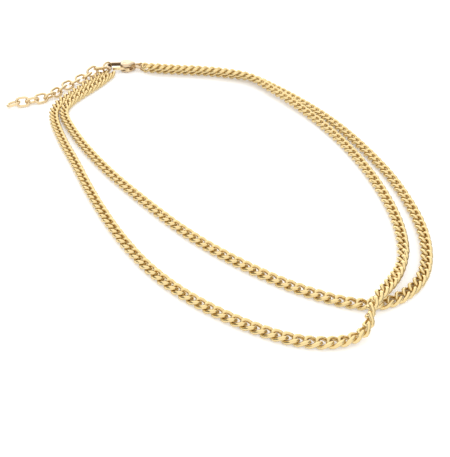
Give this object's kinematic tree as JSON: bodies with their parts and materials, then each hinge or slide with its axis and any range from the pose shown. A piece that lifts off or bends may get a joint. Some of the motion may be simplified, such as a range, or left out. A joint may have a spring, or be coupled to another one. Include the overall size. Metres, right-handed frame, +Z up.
{
  "type": "two-strand chain anklet",
  "caption": "Fine curb-chain anklet of two strands that cross at the front, closed by a lobster clasp, with an extension chain of oval links",
  "frame": {"origin": "on the surface that the anklet lies on, under the middle of its bounding box", "axes": "+Z up from the surface, +Y from the front of the loop, where the strands cross, to the back with the clasp, +X to the right"},
  "size_m": [0.0897, 0.1007, 0.0043],
  "materials": {
    "chain_gold": "polished yellow gold plate",
    "pale_gold": "polished pale gold plate"
  },
  "bodies": {
    "anklet": {"chain_strand_short": "chain_gold", "chain_strand_long": "chain_gold", "clasp_body": "pale_gold", "clasp_pin": "pale_gold", "end_ring": "pale_gold", "clasp_ring": "pale_gold", "extender_link_01": "pale_gold", "extender_link_02": "pale_gold", "extender_link_03": "pale_gold", "extender_link_04": "pale_gold", "extender_link_05": "pale_gold", "extender_link_06": "pale_gold", "extender_link_07": "pale_gold", "extender_link_08": "pale_gold", "extender_link_09": "pale_gold", "extender_link_10": "pale_gold", "extender_link_11": "pale_gold", "extender_link_12": "pale_gold", "extender_link_13": "pale_gold"},
    "lever": {"clasp_lever": "pale_gold"}
  },
  "joints": [
    {"name": "clasp_lever_hinge", "type": "hinge", "parent": "anklet", "child": "lever", "pos_m": [-0.01843, 0.04781, 0.0012], "axis": [0, 0, -1], "range_deg": [0, 25], "stiffness_Nm_per_rad": 0.002, "springref_deg": -11.46}
  ]
}
